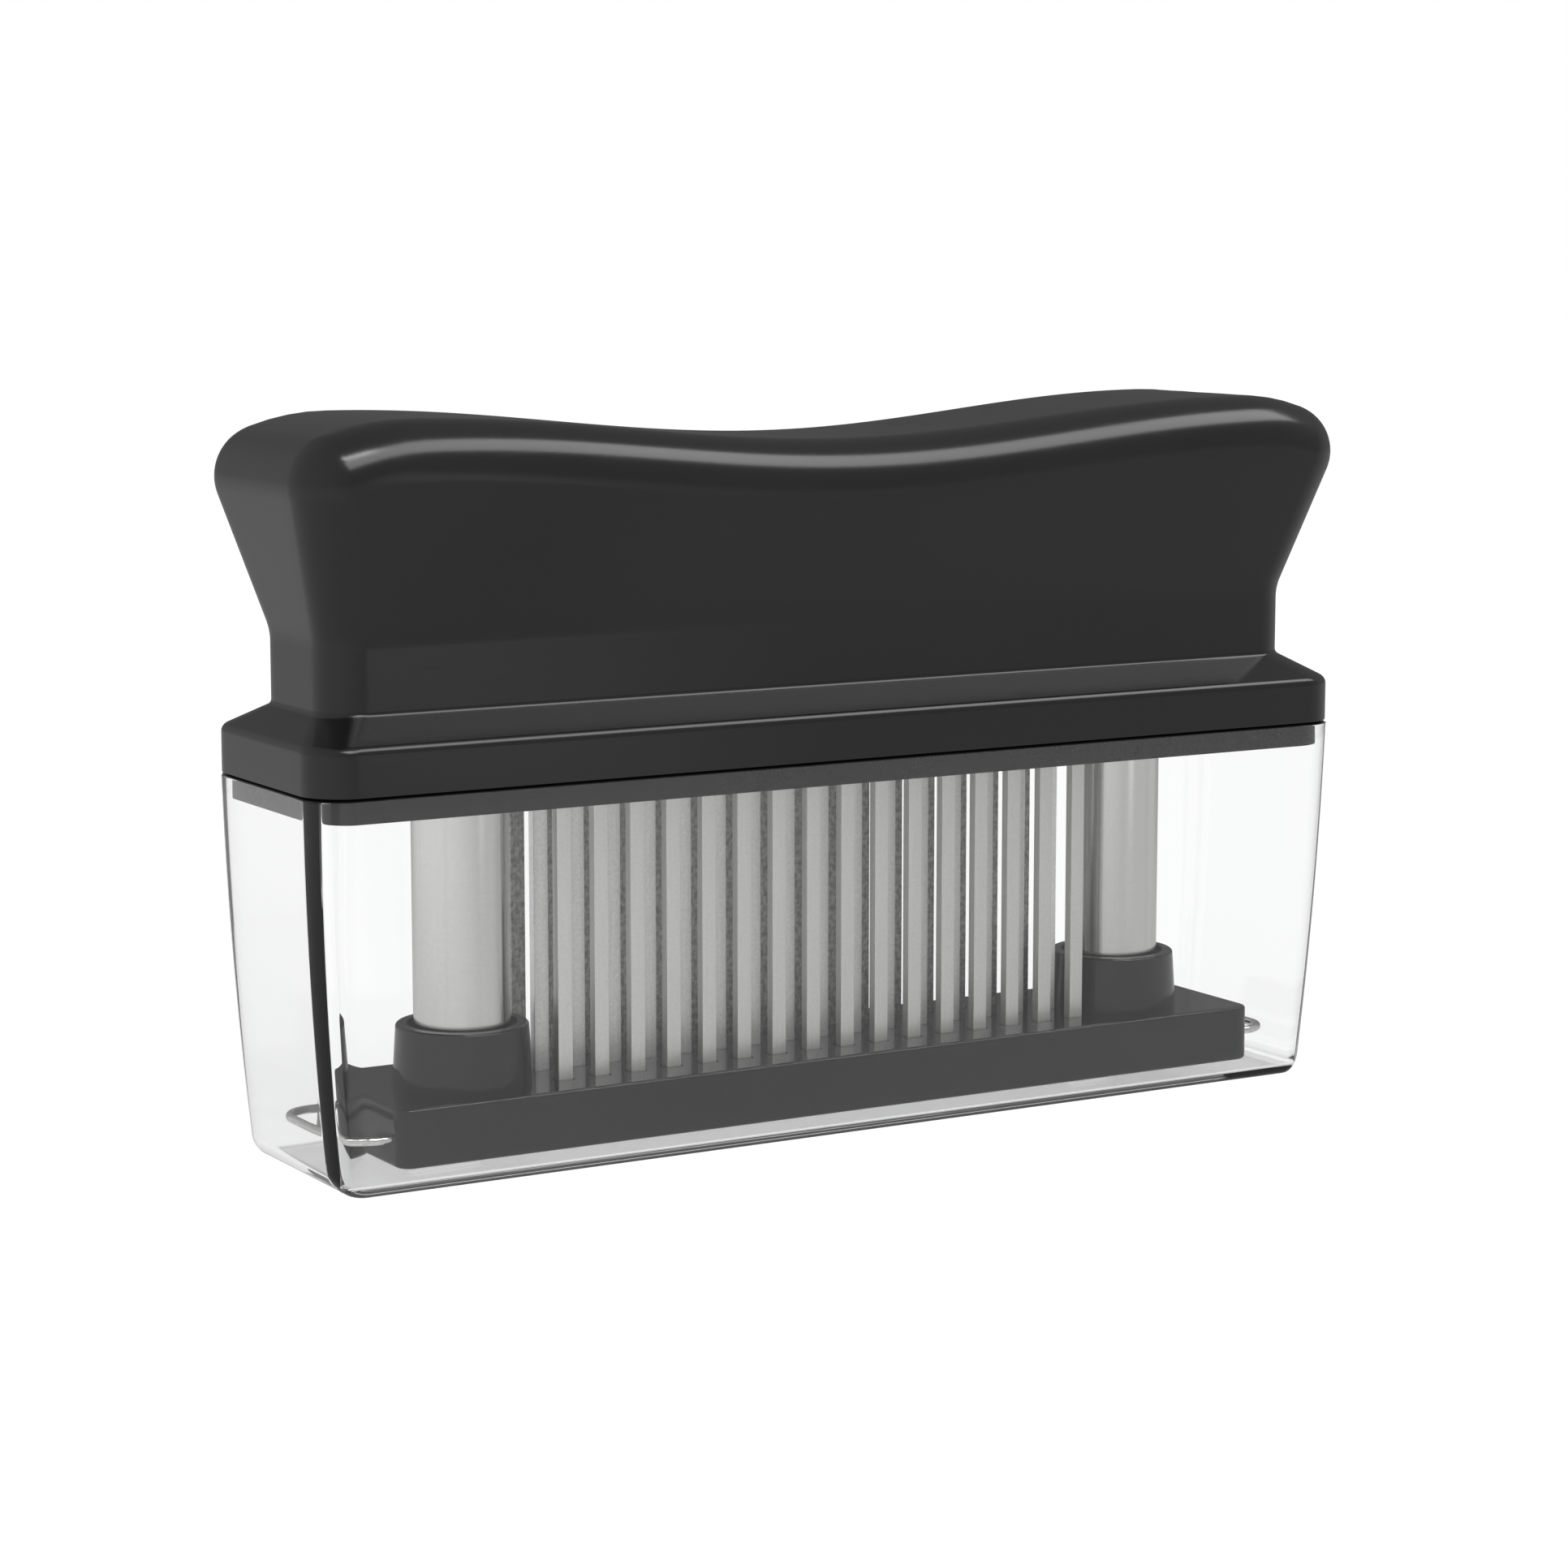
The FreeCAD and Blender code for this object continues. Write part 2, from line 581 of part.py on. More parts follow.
def make_wire_clip(sign):
    """U-shaped wire: a wide bow outside the plate and two straight legs inside it."""
    bow_x = sign * (GUARD_HALF_LENGTH + CLIP_BOW)
    inner_x = sign * CLIP_LEG_END_X
    bow_radius = CLIP_BEND_RADIUS
    shoulder = CLIP_LEG_Y - bow_radius
    outer_leg = bow_x - sign * bow_radius
    turn = bow_radius * (1 - math.cos(math.pi / 4))
    path = Part.Wire([
        Part.makeLine(Vector(inner_x, -CLIP_LEG_Y, CLIP_Z), Vector(outer_leg, -CLIP_LEG_Y, CLIP_Z)),
        Part.Arc(
            Vector(outer_leg, -CLIP_LEG_Y, CLIP_Z),
            Vector(bow_x - sign * turn, -CLIP_LEG_Y + turn, CLIP_Z),
            Vector(bow_x, -shoulder, CLIP_Z),
        ).toShape(),
        Part.makeLine(Vector(bow_x, -shoulder, CLIP_Z), Vector(bow_x, shoulder, CLIP_Z)),
        Part.Arc(
            Vector(bow_x, shoulder, CLIP_Z),
            Vector(bow_x - sign * turn, CLIP_LEG_Y - turn, CLIP_Z),
            Vector(outer_leg, CLIP_LEG_Y, CLIP_Z),
        ).toShape(),
        Part.makeLine(Vector(outer_leg, CLIP_LEG_Y, CLIP_Z), Vector(inner_x, CLIP_LEG_Y, CLIP_Z)),
    ])
    ring = Part.makeCircle(CLIP_WIRE_RADIUS, Vector(inner_x, -CLIP_LEG_Y, CLIP_Z), Vector(1, 0, 0))
    return path.makePipeShell([Part.Wire(ring)], True, False)


def build():
    """Make every node and write it out."""
    os.makedirs("parts", exist_ok=True)
    save(make_clear_cover(), "clear_cover")
    save(make_handle_shell(), "handle_shell")
    save(make_blade_holder(), "blade_holder")
    save(make_screws(), "holder_screws")
    save(make_retainer(), "cartridge_retainer")
    for row, name in enumerate(ROW_NAMES):
        save(make_cartridge(row), name + "_blade_cartridge")
        blades = [make_blade(x, row_y(row)) for x in blade_xs()]
        save(Part.makeCompound(blades), name + "_blades")
    save(make_guard_plate(), "guard_plate")
    for side, sign in SIDES:
        x = sign * POST_X
        save(make_post(x), side + "_post")
        save(make_post_foot(x), side + "_post_foot")
        save(make_stop_ring(x), side + "_stop_ring")
        save(make_guide_bush(x), side + "_guide_bush")
        save(make_spring_seat(x), side + "_spring_seat")
        save(make_spring(x), side + "_return_spring")
        save(make_wire_clip(sign), side + "_wire_clip")


build()
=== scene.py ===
"""Press-type meat tenderizer, standing in its clear blade cover.

Metres, in the same frame as the solids: +X runs along the tool, +Y away from its
front and +Z up. The classes below hold their sizes in millimetres.
"""
import logging
import math
from dataclasses import dataclass, field
from enum import Enum
from typing import Iterable, Mapping, Sequence, Union

import bmesh
import bpy
from mathutils import Matrix, Vector


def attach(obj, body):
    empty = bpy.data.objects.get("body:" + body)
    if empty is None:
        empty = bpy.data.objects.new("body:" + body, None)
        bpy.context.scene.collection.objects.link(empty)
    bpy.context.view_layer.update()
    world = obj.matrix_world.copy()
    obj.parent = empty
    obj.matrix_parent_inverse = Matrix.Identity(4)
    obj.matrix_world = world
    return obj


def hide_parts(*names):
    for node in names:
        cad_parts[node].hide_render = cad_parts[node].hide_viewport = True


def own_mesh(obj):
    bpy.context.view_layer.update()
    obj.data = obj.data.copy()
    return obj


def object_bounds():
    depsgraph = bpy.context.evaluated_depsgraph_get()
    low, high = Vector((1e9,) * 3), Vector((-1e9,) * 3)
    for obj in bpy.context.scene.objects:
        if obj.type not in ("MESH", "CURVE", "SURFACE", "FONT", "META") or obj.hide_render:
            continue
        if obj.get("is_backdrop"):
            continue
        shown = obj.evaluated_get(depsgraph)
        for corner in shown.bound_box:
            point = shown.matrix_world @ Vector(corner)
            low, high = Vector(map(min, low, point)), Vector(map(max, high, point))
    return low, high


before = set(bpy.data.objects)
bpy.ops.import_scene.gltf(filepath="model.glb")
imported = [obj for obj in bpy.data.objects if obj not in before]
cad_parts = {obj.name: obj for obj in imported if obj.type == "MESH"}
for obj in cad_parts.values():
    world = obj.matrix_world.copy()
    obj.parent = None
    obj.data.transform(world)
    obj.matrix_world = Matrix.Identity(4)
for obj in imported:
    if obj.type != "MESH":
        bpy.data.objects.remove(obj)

MM = 0.001

Colour = tuple[float, float, float]
Point = tuple[float, float, float]
Number = Union["Flow", float]

log = logging.getLogger("tenderizer")


class Side(Enum):
    """The two ends of the tool."""

    LEFT = -1
    RIGHT = 1

    @property
    def label(self) -> str:
        """The word that the node names start with."""
        return self.name.lower()


class Row(Enum):
    """The three rows of blades, by their place from the middle."""

    FRONT = -1
    MIDDLE = 0
    REAR = 1

    @property
    def label(self) -> str:
        """The word that the node names start with."""
        return self.name.lower()


# Node graphs


class Flow:
    """One output socket of a node, so that sums on sockets read as Python."""

    def __init__(self, graph: "Graph", socket: bpy.types.NodeSocket) -> None:
        """Remember the graph and the socket."""
        self.graph = graph
        self.socket = socket

    def __add__(self, other: Number) -> "Flow":
        """This value plus another."""
        return self.graph.maths("ADD", self, other)

    def __radd__(self, other: Number) -> "Flow":
        """Another value plus this one."""
        return self.graph.maths("ADD", other, self)

    def __sub__(self, other: Number) -> "Flow":
        """This value less another."""
        return self.graph.maths("SUBTRACT", self, other)

    def __rsub__(self, other: Number) -> "Flow":
        """Another value less this one."""
        return self.graph.maths("SUBTRACT", other, self)

    def __mul__(self, other: Number) -> "Flow":
        """This value times another."""
        return self.graph.maths("MULTIPLY", self, other)

    def __rmul__(self, other: Number) -> "Flow":
        """Another value times this one."""
        return self.graph.maths("MULTIPLY", other, self)

    def __truediv__(self, other: Number) -> "Flow":
        """This value over another."""
        return self.graph.maths("DIVIDE", self, other)

    def __rtruediv__(self, other: Number) -> "Flow":
        """Another value over this one."""
        return self.graph.maths("DIVIDE", other, self)

    def __pow__(self, other: Number) -> "Flow":
        """This value to a power."""
        return self.graph.maths("POWER", self, other)

    def __lt__(self, other: Number) -> "Flow":
        """1 where this value is less than another."""
        return self.graph.maths("LESS_THAN", self, other)

    def __gt__(self, other: Number) -> "Flow":
        """1 where this value is more than another."""
        return self.graph.maths("GREATER_THAN", self, other)

    def size(self) -> "Flow":
        """This value without its sign."""
        return self.graph.maths("ABSOLUTE", self)

    def at_least(self, low: Number) -> "Flow":
        """This value, held above a low limit."""
        return self.graph.maths("MAXIMUM", self, low)

    def at_most(self, high: Number) -> "Flow":
        """This value, held below a high limit."""
        return self.graph.maths("MINIMUM", self, high)

    def ramp(self, low: float, high: float) -> "Flow":
        """0 below low, 1 above high, and a smooth rise between them."""
        return self.graph.flow(
            "ShaderNodeMapRange",
            {"interpolation_type": "SMOOTHSTEP"},
            {"Value": self, "From Min": low, "From Max": high},
        )


class Graph:
    """Makes nodes in one node tree."""

    def __init__(self, tree: bpy.types.NodeTree) -> None:
        """Remember the tree."""
        self.tree = tree

    def node(
        self,
        kind: str,
        settings: Mapping[str, object] | None = None,
        sockets: Mapping[Union[str, int], object] | None = None,
    ) -> bpy.types.Node:
        """Make any node.

        Args:
            kind: The node's type name.
            settings: Its properties, set before its sockets.
            sockets: Values or flows for its inputs, by name or number.

        Returns:
            The new node.
        """
        made = self.tree.nodes.new(kind)
        for key, value in (settings or {}).items():
            setattr(made, key, value)
        for key, value in (sockets or {}).items():
            if isinstance(value, Flow):
                self.tree.links.new(value.socket, made.inputs[key])
            else:
                made.inputs[key].default_value = value
        return made

    def flow(
        self,
        kind: str,
        settings: Mapping[str, object] | None = None,
        sockets: Mapping[Union[str, int], object] | None = None,
        output: Union[str, int] = 0,
    ) -> Flow:
        """Make a node and return one of its outputs."""
        return Flow(self, self.node(kind, settings, sockets).outputs[output])

    def maths(self, operation: str, *values: Number) -> Flow:
        """One Math node on one or two values."""
        return self.flow("ShaderNodeMath", {"operation": operation}, dict(enumerate(values)))

    def vector(self, x: Number, y: Number, z: Number) -> Flow:
        """A vector from three values."""
        return self.flow("ShaderNodeCombineXYZ", None, {0: x, 1: y, 2: z})

    def parts(self, vector: Flow) -> tuple[Flow, Flow, Flow]:
        """The X, Y and Z of a vector."""
        split = self.node("ShaderNodeSeparateXYZ", None, {0: vector})
        return tuple(Flow(self, split.outputs[index]) for index in range(3))


class Surface(Graph):
    """The node graph of a material, with the patterns that the finishes share."""

    def __init__(self, name: str) -> None:
        """Start an empty material."""
        self.material = bpy.data.materials.new(name)
        self.material.use_nodes = True
        self.material.node_tree.nodes.clear()
        super().__init__(self.material.node_tree)
        self.place = self.flow("ShaderNodeTexCoord", output="Object")

    def stretched(self, scale: Point) -> Flow:
        """Object coordinates, stretched along the axes."""
        return self.flow("ShaderNodeMapping", None, {"Vector": self.place, "Scale": scale})

    def noise(self, per_metre: float, detail: float = 2.0, stretch: Point = (1.0, 1.0, 1.0)) -> Flow:
        """Soft noise from 0 to 1.

        Args:
            per_metre: How many grains lie in a metre.
            detail: Octaves of finer grain.
            stretch: How much finer the grain is along each axis.

        Returns:
            The noise's value.
        """
        sockets = {"Vector": self.stretched(stretch), "Scale": per_metre, "Detail": detail}
        return self.flow("ShaderNodeTexNoise", None, sockets)

    def tint(self, share: Flow, low: Colour, high: Colour) -> Flow:
        """A colour between two others."""
        mix = self.node(
            "ShaderNodeMix",
            {"data_type": "RGBA"},
            {"Factor": share, 6: (*low, 1.0), 7: (*high, 1.0)},
        )
        return Flow(self, mix.outputs[2])

    def relief(self, height: Flow, depth: float, strength: float = 1.0) -> Flow:
        """A normal that follows a height, whose full swing is depth metres."""
        sockets = {"Height": height, "Distance": depth, "Strength": strength}
        return self.flow("ShaderNodeBump", None, sockets)

    def shader(self, sockets: Mapping[str, object]) -> Flow:
        """The Principled shader."""
        return self.flow("ShaderNodeBsdfPrincipled", None, sockets)

    def finish(self, shader: Flow) -> bpy.types.Material:
        """Send a shader to the output and return the material."""
        self.node("ShaderNodeOutputMaterial", None, {"Surface": shader})
        return self.material


# Finishes


@dataclass(frozen=True)
class MouldedPlastic:
    """Black or coloured moulded plastic with a fine skin and faint handling marks."""

    name: str
    colour: Colour
    roughness: float
    skin_per_metre: float = 1600.0
    skin_depth: float = 0.0000002
    mottle: float = 0.25

    def material(self) -> bpy.types.Material:
        """Build the material."""
        surface = Surface(self.name)
        cloud = surface.noise(26.0, 3.0)
        skin = surface.noise(self.skin_per_metre, 2.0)
        marks = surface.noise(90.0, 4.0, (1.0, 1.0, 9.0)).ramp(0.56, 0.72)
        lighter = tuple(part * (1.0 + self.mottle) + 0.001 for part in self.colour)
        tone = (cloud * 0.7 + skin * 0.3).ramp(0.3, 0.7)
        roughness = self.roughness + (cloud - 0.5) * 0.06 + (skin - 0.5) * 0.03 + marks * 0.03
        return surface.finish(surface.shader({
            "Base Color": surface.tint(tone, self.colour, lighter),
            "Roughness": roughness,
            "IOR": 1.5,
            "Normal": surface.relief(skin, self.skin_depth),
        }))


@dataclass(frozen=True)
class ClearPlastic:
    """Clear moulded plastic that bends light and lets the lamps through."""

    name: str
    colour: Colour
    ior: float

    def material(self) -> bpy.types.Material:
        """Build the material."""
        surface = Surface(self.name)
        flow_marks = surface.noise(70.0, 2.0, (1.0, 1.0, 0.35))
        scuffs = surface.noise(420.0, 3.0, (1.0, 1.0, 0.2)).ramp(0.66, 0.78)
        fogged = tuple(part * 0.985 for part in self.colour)
        glass = surface.shader({
            "Base Color": surface.tint(scuffs, self.colour, fogged),
            "Roughness": 0.0,
            "IOR": self.ior,
            "Transmission Weight": 1.0,
            "Normal": surface.relief(flow_marks, 0.00001),
        })
        lamp_ray = surface.flow("ShaderNodeLightPath", output="Is Shadow Ray")
        open_way = surface.flow("ShaderNodeBsdfTransparent", None, {"Color": (*self.colour, 1.0)})
        return surface.finish(surface.flow(
            "ShaderNodeMixShader", None, {0: lamp_ray, 1: glass, 2: open_way}
        ))


@dataclass(frozen=True)
class WorkedSteel:
    """Stainless steel with grinding lines along Z or round it, and a fine speckle."""

    name: str
    colour: Colour
    roughness: float
    lines: Point
    line_depth: float
    speckle: float = 0.0
    speckle_per_metre: float = 2600.0
    wear: float = 1.0

    def material(self) -> bpy.types.Material:
        """Build the material."""
        surface = Surface(self.name)
        lines = surface.noise(1000.0, 3.0, self.lines)
        grain = surface.noise(self.speckle_per_metre, 2.0)
        cloud = surface.noise(60.0, 2.0)
        dark = tuple(part * (1.0 - 0.10 * self.wear - self.speckle) for part in self.colour)
        light = tuple(min(1.0, part * (1.0 + 0.06 * self.wear + self.speckle * 0.6)) for part in self.colour)
        tone = (grain * 0.6 + lines * 0.4).ramp(0.34, 0.66)
        roughness = self.roughness + (lines - 0.5) * 0.12 * self.wear + (cloud - 0.5) * 0.08 * self.wear
        height = lines * 0.6 + grain * 0.4
        return surface.finish(surface.shader({
            "Base Color": surface.tint(tone, dark, light),
            "Metallic": 1.0,
            "Roughness": roughness,
            "Normal": surface.relief(height, self.line_depth),
        }))


@dataclass(frozen=True)
class Finishes:
    """Every finish of the tool, by the record's slot."""

    handle: MouldedPlastic = MouldedPlastic("black_handle", (0.004, 0.004, 0.0042), 0.19)
    holder: MouldedPlastic = MouldedPlastic("black_holder", (0.005, 0.005, 0.0052), 0.28)
    guard: MouldedPlastic = MouldedPlastic("black_guard", (0.004, 0.004, 0.0042), 0.10)
    cartridge: MouldedPlastic = MouldedPlastic("dark_cartridge", (0.06, 0.06, 0.06), 0.45)
    bearing: MouldedPlastic = MouldedPlastic("white_bearing", (0.62, 0.61, 0.57), 0.42)
    cover: ClearPlastic = ClearPlastic("clear_cover", (0.993, 0.995, 0.995), 1.49)
    front_blade: WorkedSteel = WorkedSteel(
        "ground_front_blades", (0.78, 0.78, 0.76), 0.36, (3.0, 3.0, 0.12), 0.000001, 0.02, wear=0.3
    )
    # Same ground steel as the front row, painted lighter to make up for the shade that the front blades cast
    # on this row.
    middle_blade: WorkedSteel = WorkedSteel(
        "ground_middle_blades_painted_light", (0.97, 0.97, 0.95), 0.36, (3.0, 3.0, 0.12), 0.000002, 0.04, wear=0.6
    )
    # Same ground steel as the front row, painted darker for the shade this row sits in behind the other two.
    rear_blade: WorkedSteel = WorkedSteel(
        "ground_rear_blades_painted_shade", (0.50, 0.50, 0.49), 0.40, (3.0, 3.0, 0.5), 0.000004, 0.30, 1500.0
    )
    post: WorkedSteel = WorkedSteel(
        "satin_posts", (0.80, 0.80, 0.78), 0.17, (0.35, 0.35, 5.0), 0.0000001, wear=0.2
    )
    hardware: WorkedSteel = WorkedSteel("plain_hardware", (0.6, 0.6, 0.59), 0.34, (1.5, 1.5, 1.5), 0.000004)
    spring: WorkedSteel = WorkedSteel("drawn_spring", (0.5, 0.5, 0.49), 0.30, (1.0, 1.0, 2.0), 0.000003)
    clip: WorkedSteel = WorkedSteel("bright_clip", (0.80, 0.80, 0.78), 0.14, (1.0, 1.0, 1.0), 0.000002)


# Meshes


class Shape:
    """Gathers points and faces in millimetres, then makes a piece of them."""

    def __init__(self) -> None:
        """Start with no points."""
        self.points: list[Point] = []
        self.faces: list[tuple[int, ...]] = []

    def loop(self, points: Iterable[Point]) -> list[int]:
        """Add points and return their numbers."""
        first = len(self.points)
        self.points.extend(points)
        return list(range(first, len(self.points)))

    def skin(self, low: Sequence[int], high: Sequence[int], inward: bool = False) -> None:
        """Faces between two closed loops of equal length.

        Args:
            low: Loop that runs anticlockwise from above.
            high: The next loop.
            inward: Turn the faces towards the inside.
        """
        count = len(low)
        for index in range(count):
            following = (index + 1) % count
            face = (low[index], low[following], high[following], high[index])
            self.faces.append(face[::-1] if inward else face)

    def piece(self, name: str, material: bpy.types.Material, merge: float = 0.00001) -> bpy.types.Object:
        """Make the object, at the origin, with its place in its mesh."""
        mesh = bpy.data.meshes.new(name)
        mesh.from_pydata([tuple(part * MM for part in point) for point in self.points], [], self.faces)
        work = bmesh.new()
        work.from_mesh(mesh)
        bmesh.ops.remove_doubles(work, verts=work.verts, dist=merge)
        bmesh.ops.dissolve_degenerate(work, edges=work.edges, dist=merge / 10)
        work.to_mesh(mesh)
        work.free()
        mesh.materials.append(material)
        made = bpy.data.objects.new(name, mesh)
        bpy.context.scene.collection.objects.link(made)
        return made


def baked(made: bpy.types.Object) -> bpy.types.Object:
    """Turn an object's modifiers into its plain mesh."""
    graph = bpy.context.evaluated_depsgraph_get()
    mesh = bpy.data.meshes.new_from_object(made.evaluated_get(graph))
    made.modifiers.clear()
    old = made.data
    made.data = mesh
    bpy.data.meshes.remove(old)
    mesh.name = made.name
    return made


def smooth(made: bpy.types.Object, degrees: float) -> None:
    """Shade a piece smooth except over edges sharper than an angle, and keep its large faces flat."""
    made.data.shade_smooth()
    made.data.set_sharp_from_angle(angle=math.radians(degrees))
    even = made.modifiers.new("even normals", "WEIGHTED_NORMAL")
    even.keep_sharp = True
    baked(made)


@dataclass(frozen=True)
class Section:
    """A rounded rectangle about the Z axis."""

    half_x: float
    half_y: float
    corner: float

    def inset(self, by: float) -> "Section":
        """The same rectangle, moved inwards all round."""
        return Section(self.half_x - by, self.half_y - by, self.corner - by)

    def towards(self, other: "Section", share: float) -> "Section":
        """A rectangle between this one and another."""
        keep = 1.0 - share
        return Section(
            self.half_x * keep + other.half_x * share,
            self.half_y * keep + other.half_y * share,
            self.corner * keep + other.corner * share,
        )

    def outline(self, per_corner: int, per_length: int, per_depth: int) -> list[tuple[float, float, float]]:
        """Points round the rectangle, anticlockwise from above.

        Args:
            per_corner: Steps in each rounded corner.
            per_length: Steps along each long side.
            per_depth: Steps along each short side.

        Returns:
            X, Y and the outward direction in radians at each point.
        """
        points = []
        corners = (
            (1, 1, 0, per_length),
            (-1, 1, 90, per_depth),
            (-1, -1, 180, per_length),
            (1, -1, 270, per_depth),
        )
        for sign_x, sign_y, start, run in corners:
            centre = (sign_x * (self.half_x - self.corner), sign_y * (self.half_y - self.corner))
            for step in range(per_corner + 1):
                turn = math.radians(start + 90 * step / per_corner)
                points.append((
                    centre[0] + self.corner * math.cos(turn),
                    centre[1] + self.corner * math.sin(turn),
                    turn,
                ))
            span = 2 * (self.half_x - self.corner) if run == per_length else 2 * (self.half_y - self.corner)
            last = points[-1]
            along = (-math.sin(last[2]), math.cos(last[2]))
            for step in range(1, run):
                share = span * step / run
                points.append((last[0] + along[0] * share, last[1] + along[1] * share, last[2]))
        return points


def rounding(
    before: tuple[float, float],
    corner: tuple[float, float],
    after: tuple[float, float],
    radius: float,
    steps: int,
) -> list[tuple[float, float]]:
    """Round the middle of three points in a plane.

    Args:
        before: A point on the line that comes in.
        corner: The sharp corner.
        after: A point on the line that goes out.
        radius: Radius of the rounding.
        steps: Number of chords.

    Returns:
        The points of the arc, from the first line to the second.
    """
    here = Vector(corner)
    back = (Vector(before) - here).normalized()
    on = (Vector(after) - here).normalized()
    half = back.angle(on) / 2
    reach = radius / math.tan(half)
    middle = here + (back + on).normalized() * (radius / math.sin(half))
    first = here + back * reach - middle
    last = here + on * reach - middle
    sweep = first.angle(last)
    points = []
    for step in range(steps + 1):
        share = step / steps
        mix = first * math.sin((1 - share) * sweep) + last * math.sin(share * sweep)
        points.append(tuple(middle + mix / math.sin(sweep)))
    return points


# Handle


@dataclass
class Handle:
    """Grip, waist and base block in one hollow moulding."""

    base: Section = Section(77.5, 17.3, 5.6)
    waist: Section = Section(73.15, 11.1, 5.35)
    bottom: float = 49.8
    base_top: float = 56.1
    waist_bottom: float = 59.3
    waist_top: float = 68.5
    lean_length: float = 0.275
    lean_depth: float = 0.36
    lean_corner: float = 0.09
    dip_height: float = 91.4
    crest_height: float = 95.5
    crest_x: float = 63.0
    crest_fall: float = 3.5
    fall_run: float = 15.0
    top_edge: float = 6.5
    flare_foot: float = 8.0
    shoulder_edge: float = 1.3
    shoulder_foot: float = 0.9
    rim_edge: float = 0.12
    seam_depth: float = 0.7
    seam_height: float = 0.4
    wall: float = 2.6
    roof: float = 3.0
    roof_edge: float = 3.6
    rib_xs: tuple[float, ...] = (-28.0, 0.0, 28.0)
    rib: float = 2.0
    per_corner: int = 14
    per_length: int = 64
    per_depth: int = 8
    cap_steps: int = 8

    def crown(self, x: float) -> float:
        """Height of the wavy top above a place along the length."""
        beyond = max(0.0, abs(x) - self.crest_x)
        if beyond > 0.0:
            return self.crest_height - self.crest_fall * (beyond / self.fall_run) ** 2
        swing = (1 - math.cos(math.pi * x / self.crest_x)) / 2
        return self.dip_height + (self.crest_height - self.dip_height) * swing

    def crown_slope(self, x: float) -> float:
        """Rise of the wavy top for each millimetre of length."""
        return (self.crown(x + 0.01) - self.crown(x - 0.01)) / 0.02

    def flared(self, rise: float) -> Section:
        """The grip's section at a height above the waist's top."""
        return Section(
            self.waist.half_x + self.lean_length * rise,
            self.waist.half_y + self.lean_depth * rise,
            self.waist.corner + self.lean_corner * rise,
        )

    def points(self, section: Section) -> list[tuple[float, float, float]]:
        """The outline of a section, in this moulding's steps."""
        return section.outline(self.per_corner, self.per_length, self.per_depth)

    def ring(self, section: Section, z: float) -> list[Point]:
        """A level loop round the moulding."""
        return [(x, y, z) for x, y, _ in self.points(section)]

    def lower_profile(self) -> list[tuple[float, float]]:
        """Share of the way from base to waist, and height, from the rim up to the waist."""
        run = self.base.half_y - self.waist.half_y
        lip = self.bottom + self.seam_height
        rim = [(-0.05, self.bottom), (-0.05, self.bottom + 0.05), (-self.seam_depth, lip - 0.05)]
        rim += rounding((-self.seam_depth, lip), (0.0, lip), (0.0, self.base_top), self.rim_edge, 4)
        edge = rounding(
            (0.0, self.bottom), (0.0, self.base_top), (-run, self.waist_bottom), self.shoulder_edge, 8
        )
        foot = rounding(
            (0.0, self.base_top), (-run, self.waist_bottom), (-run, self.waist_top), self.shoulder_foot, 6
        )
        return [(-out / run, z) for out, z in rim + edge + foot]

    def flare_profile(self) -> list[tuple[float, float]]:
        """Rise that the section belongs to, and height, through the hollow under the flare."""
        far = self.waist_top + 20.0
        foot = rounding(
            (0.0, self.waist_bottom), (0.0, self.waist_top), (self.lean_depth * 20.0, far), self.flare_foot, 8
        )
        return [(out / self.lean_depth, z) for out, z in foot]

    def crown_ball(self, x: float) -> float:
        """Height of the centre of a ball that rolls under the wavy top, above a place x."""
        touch = x
        for _ in range(6):
            slope = self.crown_slope(touch)
            touch = x - self.top_edge * slope / math.hypot(1.0, slope)
        return self.crown(touch) - self.top_edge / math.hypot(1.0, self.crown_slope(touch))

    def top_rounding(self, steps: int) -> list[list[Point]]:
        """Loops over the rounded edge between the leaning walls and the wavy top."""
        loops: list[list[Point]] = [[] for _ in range(steps + 1)]
        waist = self.points(self.flared(0.0))
        higher = self.points(self.flared(1.0))
        for index, (x, y, turn) in enumerate(waist):
            out = Vector((math.cos(turn), math.sin(turn)))
            lean = math.atan((Vector(higher[index][:2]) - Vector((x, y))).dot(out))
            height = self.dip_height - self.top_edge
            for _ in range(8):
                section = self.flared(height - self.waist_top).inset(self.top_edge / math.cos(lean))
                centre = self.points(section)[index]
                height = self.crown_ball(centre[0])
            slope = self.crown_slope(centre[0])
            wall = Vector((out.x * math.cos(lean), out.y * math.cos(lean), -math.sin(lean)))
            top = Vector((-slope, 0.0, 1.0)).normalized()
            sweep = wall.angle(top)
            for step in range(steps + 1):
                share = step / steps
                way = wall * math.sin((1 - share) * sweep) + top * math.sin(share * sweep)
                place = Vector((centre[0], centre[1], height)) + way * (self.top_edge / math.sin(sweep))
                loops[step].append(tuple(place))
        return loops

    def cap(self, shape: Shape, rim: list[int], lower: float, inward: bool) -> None:
        """Close a loop along the wavy top.

        Args:
            shape: The shape to add to.
            rim: The loop's numbers.
            lower: How far the cap lies under the wavy top.
            inward: Turn the faces down.
        """
        ring = [shape.points[number] for number in rim]
        last = rim
        for step in range(1, self.cap_steps + 1):
            share = 1.0 - step / self.cap_steps
            drawn = []
            for x, y, _ in ring:
                nearer = x * (1.0 - 0.06 * (1.0 - share))
                drawn.append((nearer, y * share, self.crown(nearer) - lower))
            following = shape.loop(drawn)
            shape.skin(last, following, inward)
            last = following

